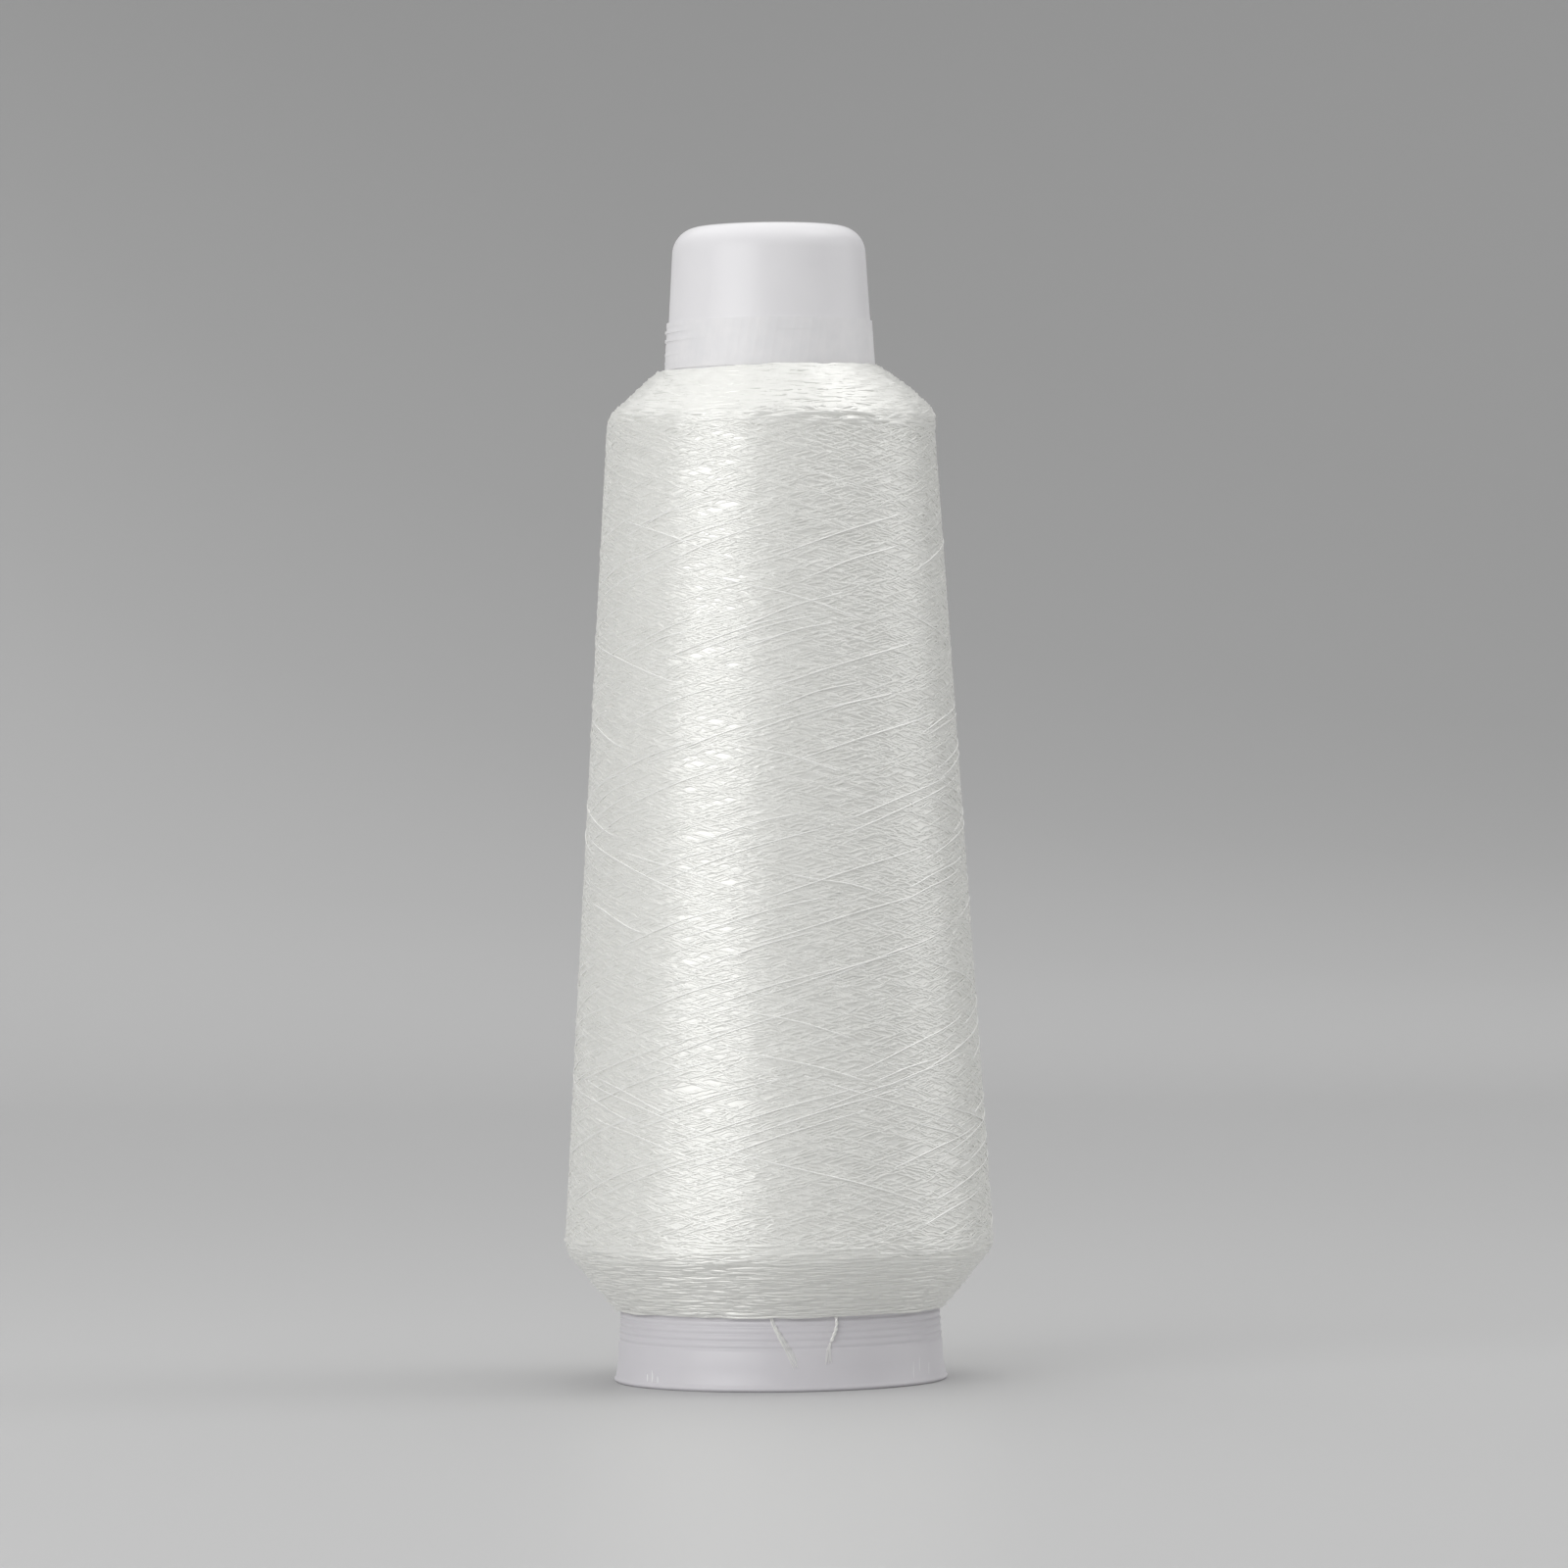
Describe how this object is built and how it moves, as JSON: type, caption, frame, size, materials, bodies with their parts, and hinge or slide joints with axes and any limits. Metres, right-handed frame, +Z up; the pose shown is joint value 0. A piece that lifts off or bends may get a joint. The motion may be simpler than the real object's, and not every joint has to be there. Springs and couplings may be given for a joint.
{
  "type": "thread cone",
  "caption": "Tapered hollow plastic cone, cross-wound with fine glossy white thread, standing on its wide end.",
  "frame": {"origin": "centre of the foot's rim, on the surface that the cone stands on", "axes": "+Z up along the cone's axis towards the nose, -Y towards the front, where the two loose thread ends lie"},
  "size_m": [0.0632, 0.0632, 0.17],
  "materials": {
    "core_plastic": "satin, cool white, moulded",
    "thread": "glossy continuous-filament thread, warm white"
  },
  "bodies": {
    "root": {"cone_core": "core_plastic", "thread_package": "thread", "neck_wrap": "thread", "thread_end_left": "thread", "thread_end_right": "thread"}
  },
  "joints": []
}
